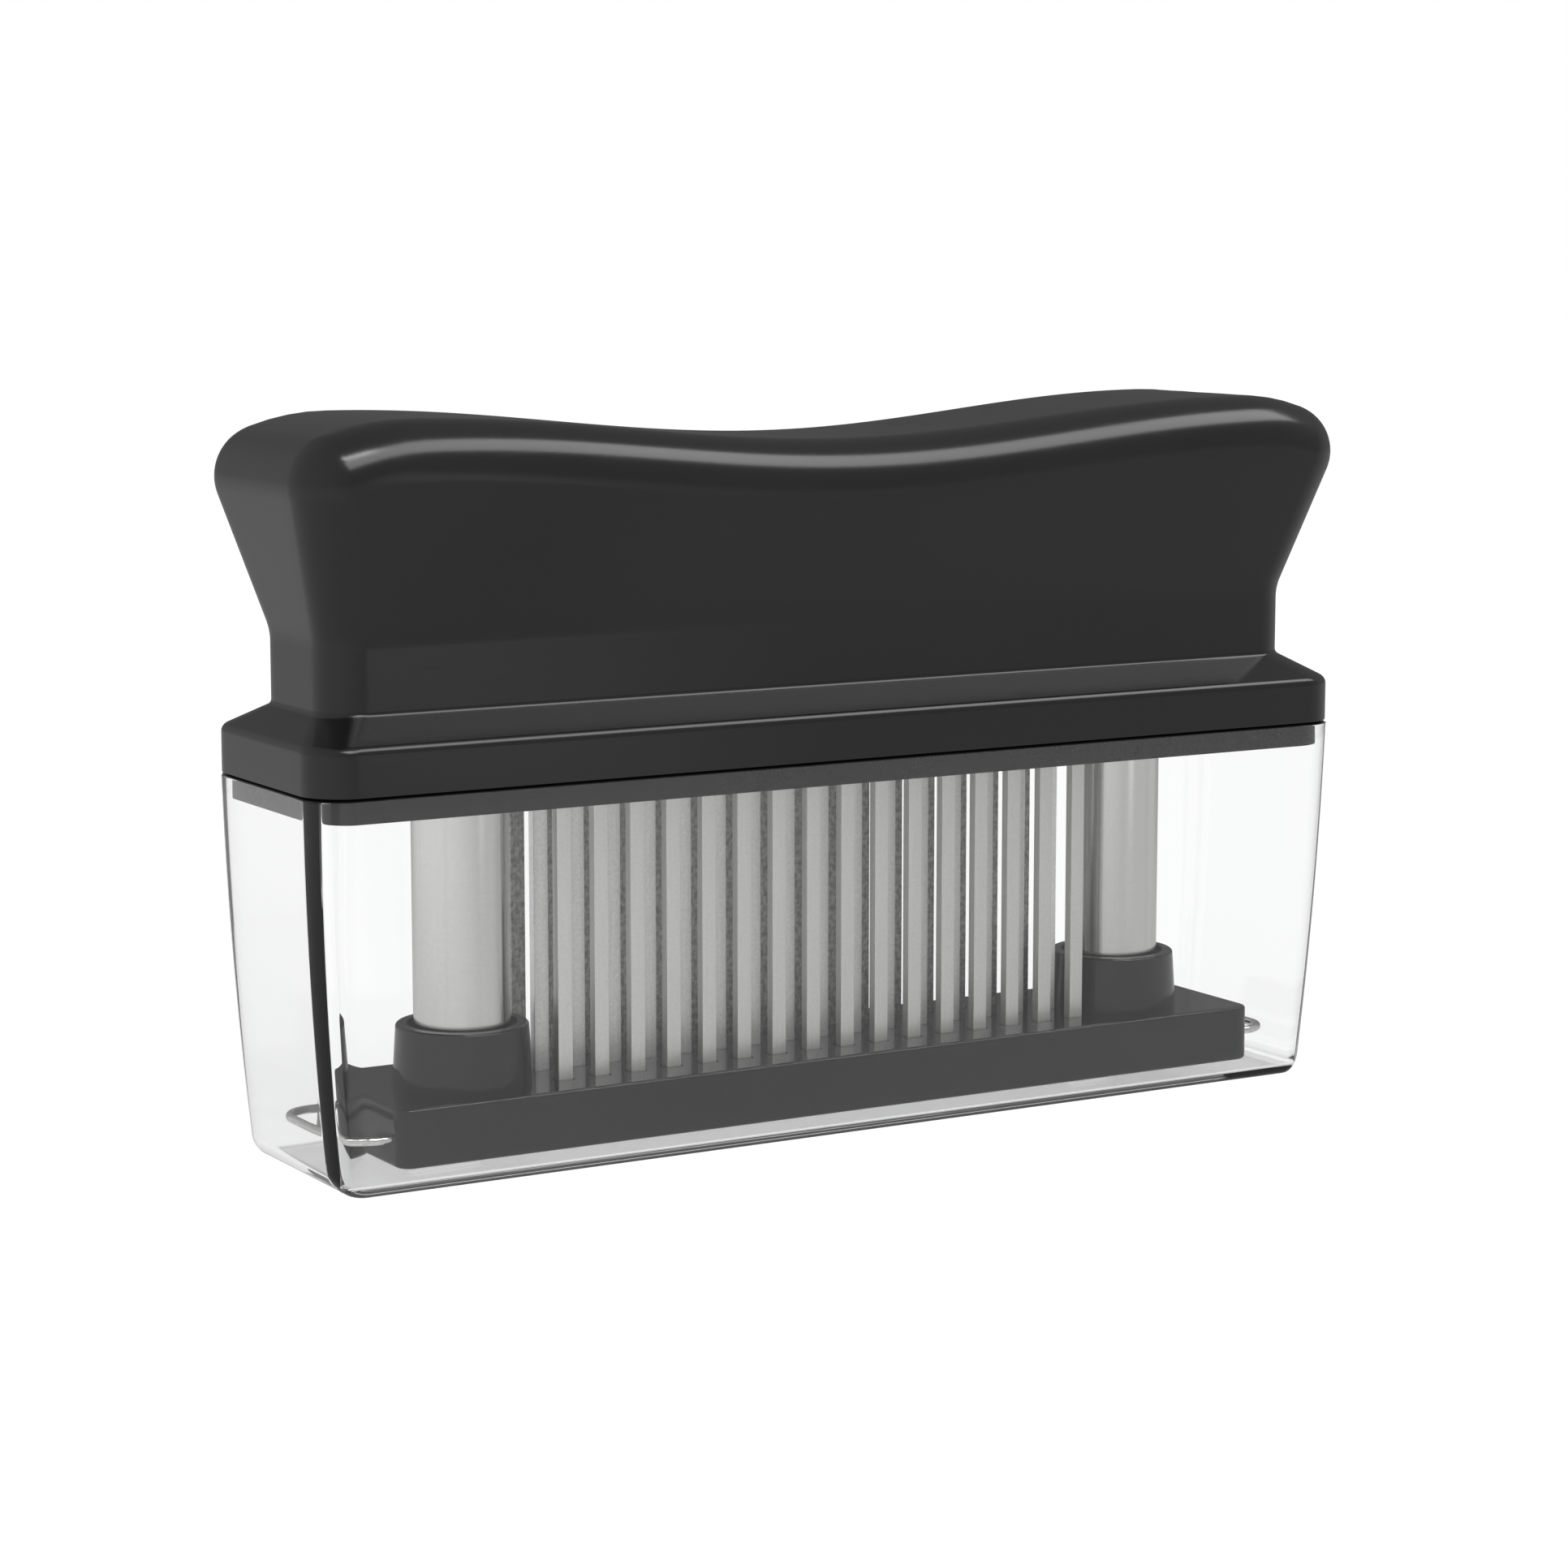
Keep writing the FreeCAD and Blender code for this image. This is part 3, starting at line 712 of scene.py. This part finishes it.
    def outside(self, shape: Shape) -> list[int]:
        """The outer skin, from the rim up. Returns the rim's loop."""
        loops = [self.ring(self.base.towards(self.waist, share), z) for share, z in self.lower_profile()]
        loops += [self.ring(self.flared(rise), z) for rise, z in self.flare_profile()]
        rounded = self.top_rounding(18)
        start, finish = loops[-1], rounded[0]
        for step in range(1, 6):
            share = step / 6
            loops.append([
                tuple(Vector(low).lerp(Vector(high), share)) for low, high in zip(start, finish)
            ])
        numbers = [shape.loop(points) for points in loops + rounded]
        for low, high in zip(numbers, numbers[1:]):
            shape.skin(low, high)
        self.cap(shape, numbers[-1], 0.0, False)
        return numbers[0]

    def inside(self, shape: Shape) -> list[int]:
        """The inner skin, from the rim up. Returns the rim's loop."""
        levels = [
            (self.base.inset(self.wall), self.bottom),
            (self.base.inset(self.wall), self.base_top - self.wall / 2),
            (self.waist.inset(self.wall), self.waist_bottom),
            (self.waist.inset(self.wall), self.waist_top),
        ]
        loops = [self.ring(section, z) for section, z in levels]
        top = []
        for share in (0.0, 0.3, 0.7, 1.0):
            drop = self.roof_edge * (1.0 - math.sin(share * math.pi / 2))
            side = self.wall + self.roof_edge * (1.0 - math.cos(share * math.pi / 2))
            rim = []
            for index in range(len(loops[0])):
                height = self.dip_height - self.roof
                for _ in range(6):
                    x, y, _ = self.points(self.flared(height - self.waist_top).inset(side))[index]
                    height = self.crown(x) - self.roof - drop
                rim.append((x, y, height))
            top.append(rim)
        numbers = [shape.loop(points) for points in loops + top]
        for low, high in zip(numbers, numbers[1:]):
            shape.skin(low, high, True)
        self.cap(shape, numbers[-1], self.roof, True)
        return numbers[0]

    def ribs(self, shape: Shape) -> None:
        """Three cross ribs that stiffen the grip and hold the retainer plate down."""
        deep = self.wall / 2
        for x in self.rib_xs:
            top = self.crown(x) - self.roof / 2
            bend = top - self.top_edge
            sides = []
            for z in (57.0, self.waist_bottom, self.waist_top, bend, top):
                reach = self.flared(max(0.0, min(z, bend) - self.waist_top)).half_y - deep
                sides.append((reach - self.top_edge * 0.7 if z > bend else reach, z))
            rim = [(-reach, z) for reach, z in sides] + [(reach, z) for reach, z in reversed(sides)]
            first = shape.loop([(x - self.rib / 2, y, z) for y, z in rim])
            second = shape.loop([(x + self.rib / 2, y, z) for y, z in rim])
            shape.skin(first, second, True)
            shape.faces.append(tuple(first))
            shape.faces.append(tuple(reversed(second)))

    def build(self, finish: MouldedPlastic) -> bpy.types.Object:
        """Make the moulding."""
        shape = Shape()
        outer = self.outside(shape)
        inner = self.inside(shape)
        shape.skin(inner, outer)
        self.ribs(shape)
        made = shape.piece("handle_grip", finish.material())
        smooth(made, 32.0)
        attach(made, "handle")
        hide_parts("handle_shell")
        return made


# Cover


@dataclass
class Cover:
    """Tapered clear tray whose end walls bow and turn softly under."""

    top: float = 49.8
    rim: Section = Section(77.5, 17.2, 5.2)
    foot: Section = Section(74.4, 14.95, 3.9)
    end_bow: float = 0.59
    wall: float = 1.2
    floor: float = 1.0
    inner_corner: float = 1.2
    end_turn: float = 3.3
    long_turn: float = 1.0
    inner_turn: float = 0.5
    rim_edge: float = 0.16
    per_corner: int = 12
    per_length: int = 40
    per_depth: int = 8
    levels: int = 12
    turn_steps: int = 8

    def section(self, z: float, inset: float) -> Section:
        """The outline at a height, or the inside's for an inset."""
        share = z / self.top
        outer = self.foot.towards(self.rim, share)
        bowed = outer.half_x + self.end_bow * 4 * share * (1 - share)
        corner = self.inner_corner if inset > self.wall / 2 else outer.corner
        return Section(bowed - inset, outer.half_y - inset, corner)

    def ring(self, z: float, inset: float) -> list[tuple[float, float, float]]:
        """Points round the tray with their outward directions."""
        return self.section(z, inset).outline(self.per_corner, self.per_length, self.per_depth)

    def turned(self, z: float, inset: float, long_turn: float, end_turn: float) -> list[list[Point]]:
        """Loops round a rounded foot, from its flat up to where the wall begins.

        Args:
            z: Height of the flat.
            inset: How far this skin lies inside the outer one.
            long_turn: Radius under the long walls.
            end_turn: Radius under the end walls.

        Returns:
            Loops of points, the lowest first.
        """
        loops = []
        for step in range(self.turn_steps + 1):
            angle = math.pi / 2 * step / self.turn_steps
            loop = []
            for index, (_, _, turn) in enumerate(self.ring(z, inset)):
                radius = long_turn + (end_turn - long_turn) * math.cos(turn) ** 2
                height = z + radius * (1 - math.cos(angle))
                x, y, _ = self.ring(height, inset)[index]
                back = radius * (1 - math.sin(angle))
                loop.append((x - math.cos(turn) * back, y - math.sin(turn) * back, height))
            loops.append(loop)
        return loops

    def walls(self, inset: float, start: list[Point]) -> list[list[Point]]:
        """Loops up a wall, from where its foot's rounding ends to near the rim."""
        loops = []
        for step in range(1, self.levels + 1):
            share = step / self.levels
            loop = []
            for index, (_, _, low) in enumerate(start):
                z = low + (self.top - self.rim_edge - low) * share
                x, y, _ = self.ring(z, inset)[index]
                loop.append((x, y, z))
            loops.append(loop)
        return loops

    def lip(self, inset: float, into: float) -> list[list[Point]]:
        """Loops over the small rounding of one edge of the rim."""
        loops = []
        for share in (0.5, 1.0):
            angle = math.pi / 2 * share
            z = self.top - self.rim_edge * (1 - math.sin(angle))
            side = inset + into * self.rim_edge * (1 - math.cos(angle))
            loops.append([(x, y, z) for x, y, _ in self.ring(z, side)])
        return loops

    def build(self, finish: ClearPlastic) -> bpy.types.Object:
        """Make the tray."""
        shape = Shape()
        outer = self.turned(0.0, 0.0, self.long_turn, self.end_turn)
        outer += self.walls(0.0, outer[-1]) + self.lip(0.0, 1.0)
        inner = self.turned(self.floor, self.wall, self.inner_turn, self.inner_turn)
        inner += self.walls(self.wall, inner[-1]) + self.lip(self.wall, -1.0)
        numbers = [shape.loop(points) for points in outer + inner[::-1]]
        for low, high in zip(numbers, numbers[1:]):
            shape.skin(low, high)
        shape.faces.append(tuple(reversed(numbers[0])))
        shape.faces.append(tuple(numbers[-1]))
        made = shape.piece("clear_tray", finish.material())
        smooth(made, 40.0)
        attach(made, "cover")
        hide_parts("clear_cover")
        return made


# Pieces from geometry nodes


class Recipe(Graph):
    """A geometry node tree with named inputs, run once to make a plain mesh."""

    def __init__(self, name: str, inputs: Mapping[str, Union[int, float]]) -> None:
        """Start a tree whose inputs have the given names and values."""
        tree = bpy.data.node_groups.new(name, "GeometryNodeTree")
        super().__init__(tree)
        tree.interface.new_socket("Geometry", in_out="OUTPUT", socket_type="NodeSocketGeometry")
        self.values = dict(inputs)
        for key, value in inputs.items():
            kind = "NodeSocketInt" if isinstance(value, int) else "NodeSocketFloat"
            tree.interface.new_socket(key, in_out="INPUT", socket_type=kind)
        self.start = tree.nodes.new("NodeGroupInput")

    def given(self, key: str) -> Flow:
        """One of the tree's inputs."""
        return Flow(self, self.start.outputs[key])

    def tube(self, curve: Flow, radius: Flow, sides: int) -> Flow:
        """A round wire along a curve, closed at its ends."""
        ring = self.flow(
            "GeometryNodeCurvePrimitiveCircle", None, {"Resolution": sides, "Radius": radius}, "Curve"
        )
        return self.flow(
            "GeometryNodeCurveToMesh", None, {"Curve": curve, "Profile Curve": ring, "Fill Caps": True}
        )

    def close(self, geometry: Flow, material: bpy.types.Material) -> None:
        """Realize what the tree made, give it its material and end the tree."""
        real = self.flow("GeometryNodeRealizeInstances", None, {"Geometry": geometry})
        dressed = self.flow("GeometryNodeSetMaterial", None, {"Geometry": real, "Material": material})
        self.node("NodeGroupOutput", None, {"Geometry": dressed})

    def piece(self, name: str, bevel: float = 0.0) -> bpy.types.Object:
        """Run the tree.

        Args:
            name: The piece's name.
            bevel: Width in metres of a small bevel on its edges, or 0.

        Returns:
            The piece, a plain mesh at the origin.
        """
        made = bpy.data.objects.new(name, bpy.data.meshes.new(name))
        bpy.context.scene.collection.objects.link(made)
        run = made.modifiers.new("recipe", "NODES")
        run.node_group = self.tree
        for item in self.tree.interface.items_tree:
            if item.item_type == "SOCKET" and item.in_out == "INPUT":
                run[item.identifier] = self.values[item.name]
        if bevel > 0.0:
            edges = made.modifiers.new("eased edges", "BEVEL")
            edges.width = bevel
            edges.segments = 2
            edges.limit_method = "ANGLE"
        return baked(made)


@dataclass
class BladeRow:
    """One row of flat blades, ground to a chisel point."""

    row: Row
    count: int = 16
    pitch: float = 5.28
    row_pitch: float = 6.65
    width: float = 2.1
    thickness: float = 1.4
    tip: float = 3.3
    top: float = 54.0
    point: float = 5.0
    eased: float = 0.12

    def build(self, material: bpy.types.Material) -> bpy.types.Object:
        """Make the row's blades."""
        recipe = Recipe("row of blades", {
            "Count": self.count,
            "Pitch": self.pitch * MM,
            "Row Place": self.row.value * self.row_pitch * MM,
            "Width": self.width * MM,
            "Thickness": self.thickness * MM,
            "Tip": self.tip * MM,
            "Top": self.top * MM,
            "Point": self.point * MM,
        })
        width, tip, top = recipe.given("Width"), recipe.given("Tip"), recipe.given("Top")
        bar = recipe.flow("GeometryNodeMeshCube", None, {
            "Size": recipe.vector(width, recipe.given("Thickness"), top - tip),
            "Vertices X": 3,
        })
        x, _, z = recipe.parts(recipe.flow("GeometryNodeInputPosition"))
        rise = (z < 0.0) * recipe.given("Point") * x.size() / (width * 0.5)
        blade = recipe.flow("GeometryNodeSetPosition", None, {
            "Geometry": bar, "Offset": recipe.vector(0.0, 0.0, rise + (top + tip) * 0.5),
        })
        pitch, count = recipe.given("Pitch"), recipe.given("Count")
        first = (count - 1) * pitch * -0.5
        places = recipe.flow("GeometryNodeMeshLine", None, {
            "Count": count,
            "Start Location": recipe.vector(first, recipe.given("Row Place"), 0.0),
            "Offset": recipe.vector(pitch, 0.0, 0.0),
        })
        blades = recipe.flow("GeometryNodeInstanceOnPoints", None, {"Points": places, "Instance": blade})
        recipe.close(blades, material)
        made = recipe.piece(f"{self.row.label}_ground_blades", self.eased * MM)
        smooth(made, 30.0)
        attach(made, "handle")
        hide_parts(f"{self.row.label}_blades")
        return made


@dataclass
class WireClip:
    """U-shaped wire: a bow outside the guard plate and two legs inside it."""

    side: Side
    height: float = 6.1
    radius: float = 0.55
    leg_y: float = 10.2
    leg_end: float = 41.2
    bow: float = 70.7
    bend: float = 3.9

    def build(self, material: bpy.types.Material) -> bpy.types.Object:
        """Make the clip."""
        sign = self.side.value
        recipe = Recipe("wire clip", {
            "Height": self.height * MM,
            "Wire Radius": self.radius * MM,
            "Leg Y": self.leg_y * MM,
            "Leg End": sign * self.leg_end * MM,
            "Bow": sign * self.bow * MM,
            "Bend Radius": self.bend * MM,
        })
        stops = recipe.flow("GeometryNodeMeshLine", None, {"Count": 4})
        index = recipe.flow("GeometryNodeInputIndex")
        outer = (index > 0.5) * (index < 2.5)
        rear = index > 1.5
        leg_end, leg_y = recipe.given("Leg End"), recipe.given("Leg Y")
        place = recipe.vector(
            leg_end + outer * (recipe.given("Bow") - leg_end),
            (rear * 2.0 - 1.0) * leg_y,
            recipe.given("Height"),
        )
        placed = recipe.flow("GeometryNodeSetPosition", None, {"Geometry": stops, "Position": place})
        line = recipe.flow("GeometryNodeMeshToCurve", None, {"Mesh": placed})
        bent = recipe.flow("GeometryNodeFilletCurve", {"mode": "POLY"}, {
            "Curve": line, "Count": 12, "Radius": recipe.given("Bend Radius"),
        })
        recipe.close(recipe.tube(bent, recipe.given("Wire Radius"), 20), material)
        made = recipe.piece(f"{self.side.label}_bent_wire")
        smooth(made, 50.0)
        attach(made, "guard")
        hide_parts(f"{self.side.label}_wire_clip")
        return made


@dataclass
class ReturnSpring:
    """Coil spring inside a post."""

    side: Side
    post_x: float = 50.7
    foot: float = 18.0
    head: float = 89.4
    wire: float = 1.1
    outer_radius: float = 4.7
    turns: float = 20.0
    pressed_share: float = 43.4 / 71.4

    def build(self, material: bpy.types.Material) -> bpy.types.Object:
        """Make the spring."""
        low = self.foot + self.wire / 2 + 0.02
        high = self.head - self.wire / 2 - 0.02
        recipe = Recipe("coil spring", {
            "Turns": self.turns,
            "Coil Radius": (self.outer_radius - self.wire / 2) * MM,
            "Coil Height": (high - low) * MM,
            "Wire Radius": self.wire / 2 * MM,
            "Post X": self.side.value * self.post_x * MM,
            "Foot": low * MM,
        })
        coil = recipe.flow("GeometryNodeCurveSpiral", None, {
            "Resolution": 32,
            "Rotations": recipe.given("Turns"),
            "Start Radius": recipe.given("Coil Radius"),
            "End Radius": recipe.given("Coil Radius"),
            "Height": recipe.given("Coil Height"),
        })
        wire = recipe.tube(coil, recipe.given("Wire Radius"), 12)
        placed = recipe.flow("GeometryNodeSetPosition", None, {
            "Geometry": wire,
            "Offset": recipe.vector(recipe.given("Post X"), 0.0, recipe.given("Foot")),
        })
        recipe.close(placed, material)
        made = recipe.piece(f"{self.side.label}_coiled_spring")
        smooth(made, 50.0)
        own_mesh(made)
        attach(made, "handle")
        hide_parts(f"{self.side.label}_return_spring")
        return made


# The whole tool


@dataclass
class Tool:
    """Dresses every node and adds the finer pieces."""

    finishes: Finishes = field(default_factory=Finishes)

    def dress(self, nodes: Sequence[str], finish: Union[MouldedPlastic, WorkedSteel]) -> None:
        """Give the solids of some nodes one finish."""
        material = finish.material()
        for name in nodes:
            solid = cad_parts[name]
            solid.data.materials.clear()
            solid.data.materials.append(material)
            log.info("dressed %s in %s", name, finish.name)

    def pairs(self, ending: str) -> list[str]:
        """The names of a left and a right node."""
        return [f"{side.label}_{ending}" for side in Side]

    def build(self) -> None:
        """Make all pieces and dress all nodes."""
        look = self.finishes
        self.dress(["blade_holder", "cartridge_retainer"], look.holder)
        self.dress(["guard_plate"], look.guard)
        self.dress([f"{row.label}_blade_cartridge" for row in Row], look.cartridge)
        self.dress(self.pairs("guide_bush") + self.pairs("spring_seat"), look.bearing)
        self.dress(self.pairs("post"), look.post)
        self.dress(["holder_screws"] + self.pairs("post_foot") + self.pairs("stop_ring"), look.hardware)
        made = [Handle().build(look.handle), Cover().build(look.cover)]
        ground = {Row.FRONT: look.front_blade, Row.MIDDLE: look.middle_blade, Row.REAR: look.rear_blade}
        made += [BladeRow(row).build(steel.material()) for row, steel in ground.items()]
        wire, spring_wire = look.clip.material(), look.spring.material()
        made += [WireClip(side).build(wire) for side in Side]
        made += [ReturnSpring(side).build(spring_wire) for side in Side]
        for piece in made:
            log.info("made %s with %d faces", piece.name, len(piece.data.polygons))


# Studio


class StudioGraph(Graph):
    """Node graph of the stage, which tells straight views from reflected ones."""

    room_level = 0.42
    room_least = 0.05
    left_gain = 0.28
    behind_loss = 0.198
    behind_skew = 0.302
    strip_way = (0.31, -0.951)
    strip_edge = (0.990, 0.999)
    strip_level = 0.35

    def straight_view(self) -> Flow:
        """1 for a ray that has met nothing but clear plastic on its way from the camera."""
        path = self.node("ShaderNodeLightPath")
        bounces = Flow(self, path.outputs["Glossy Depth"]) + Flow(self, path.outputs["Diffuse Depth"])
        return 1.0 - bounces.at_most(1.0)

    def room(self, x: Flow, y: Flow) -> Flow:
        """How bright the room is towards a level direction, with a soft upright strip in front."""
        left = (0.0 - x).at_least(0.0) * self.left_gain
        behind = y.at_least(0.0) * (self.behind_loss + x * self.behind_skew)
        facing = x * self.strip_way[0] + y * self.strip_way[1]
        strip = facing.ramp(*self.strip_edge) * self.strip_level
        return (self.room_level + left - behind).at_least(self.room_least) + strip


@dataclass
class Studio:
    """White sweep, soft lamps and the camera."""

    camera_place: Point = (-0.265686, -0.446945, 0.119537)
    yaw: float = 30.482
    pitch: float = 8.194
    roll: float = 0.020
    focal_pixels: float = 4841.14
    frame_pixels: float = 1932.0
    floor_half: float = 3.0

    def world(self) -> None:
        """A pale room, lighter on the left, that is white where the camera looks at it."""
        world = bpy.data.worlds.new("pale room")
        world.use_nodes = True
        world.node_tree.nodes.clear()
        graph = StudioGraph(world.node_tree)
        x, y, _ = graph.parts(graph.flow("ShaderNodeTexCoord", output="Generated"))
        room = graph.room(x, y)
        straight = graph.straight_view()
        level = room + (1.0 - room) * straight
        light = graph.flow("ShaderNodeBackground", None, {"Color": (1, 1, 1, 1), "Strength": level})
        graph.node("ShaderNodeOutputWorld", None, {"Surface": light})
        bpy.context.scene.world = world

    def floor(self) -> None:
        """A white floor that keeps a soft shadow."""
        half = self.floor_half
        mesh = bpy.data.meshes.new("floor")
        corners = [(-half, -half, 0), (half, -half, 0), (half, half, 0), (-half, half, 0)]
        mesh.from_pydata(corners, [], [(0, 1, 2, 3)])
        made = bpy.data.objects.new("floor", mesh)
        made.location.z = -0.00005
        bpy.context.scene.collection.objects.link(made)
        material = bpy.data.materials.new("white floor")
        material.use_nodes = True
        material.node_tree.nodes.clear()
        graph = StudioGraph(material.node_tree)
        x, y, _ = graph.parts(graph.flow("ShaderNodeTexCoord", output="Object"))
        away = ((x * x + y * y) ** 0.5).at_least(0.3)
        level = graph.room(x / away, y / away)
        level = level + (0.96 - level) * graph.straight_view()
        glow = graph.flow("ShaderNodeEmission", None, {"Color": (1, 1, 1, 1), "Strength": level})
        matt = graph.flow("ShaderNodeBsdfDiffuse", None, {"Color": (0.12, 0.12, 0.12, 1)})
        mixed = graph.flow("ShaderNodeAddShader", None, {0: matt, 1: glow})
        graph.node("ShaderNodeOutputMaterial", None, {"Surface": mixed})
        mesh.materials.append(material)
        made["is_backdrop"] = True

    def lamp(
        self, name: str, towards: Point, distance: float, width: float, height: float, level: float
    ) -> None:
        """A rectangular soft lamp that faces the tool.

        Args:
            name: The lamp's name.
            towards: Direction from the tool to the lamp.
            distance: How far away it stands, in metres.
            width: Its level side.
            height: Its other side.
            level: How bright its face is, where 1 is white.
        """
        light = bpy.data.lights.new(name, "AREA")
        light.shape = "RECTANGLE"
        light.size = width
        light.size_y = height
        light.energy = level * math.pi * width * height
        made = bpy.data.objects.new(name, light)
        way = Vector(towards).normalized()
        made.location = Vector((0.0, 0.0, 0.06)) + way * distance
        made.rotation_euler = way.to_track_quat("Z", "Y").to_euler()
        bpy.context.scene.collection.objects.link(made)

    def lamps(self) -> None:
        """The lamps above and in front."""
        self.lamp("front softbox", (0.35, -0.48, 0.80), 1.3, 1.7, 0.50, 3.9)
        self.lamp("near softbox", (-0.08, -0.49, 0.87), 1.28, 0.40, 0.16, 11.0)

    def camera(self) -> None:
        """The camera, where the photograph was taken from."""
        yaw, pitch, roll = (math.radians(angle) for angle in (self.yaw, self.pitch, self.roll))
        ahead = Vector((math.sin(yaw) * math.cos(pitch), math.cos(yaw) * math.cos(pitch), -math.sin(pitch)))
        right = Vector((math.cos(yaw), -math.sin(yaw), 0.0))
        above = right.cross(ahead)
        right, above = (
            right * math.cos(roll) + above * math.sin(roll),
            above * math.cos(roll) - right * math.sin(roll),
        )
        data = bpy.data.cameras.new("camera")
        data.sensor_width = 36.0
        data.lens = self.focal_pixels * data.sensor_width / self.frame_pixels
        data.clip_start = 0.01
        data.clip_end = 50.0
        made = bpy.data.objects.new("camera", data)
        turn = Matrix((right, above, -ahead)).transposed().to_4x4()
        made.matrix_world = Matrix.Translation(self.camera_place) @ turn
        bpy.context.scene.collection.objects.link(made)
        bpy.context.scene.camera = made

    def build(self) -> None:
        """Set up the room."""
        self.world()
        self.floor()
        self.lamps()
        self.camera()
        bpy.context.scene.view_settings.view_transform = "Standard"


def corners() -> list[list[float]]:
    """The lowest and highest corner of what is shown."""
    return [list(corner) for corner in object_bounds()]


def main() -> None:
    """Build the tool and its studio."""
    logging.basicConfig(level=logging.INFO, format="%(name)s: %(message)s")
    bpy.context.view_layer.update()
    Studio().build()
    Tool().build()


if __name__ == "__main__":
    main()
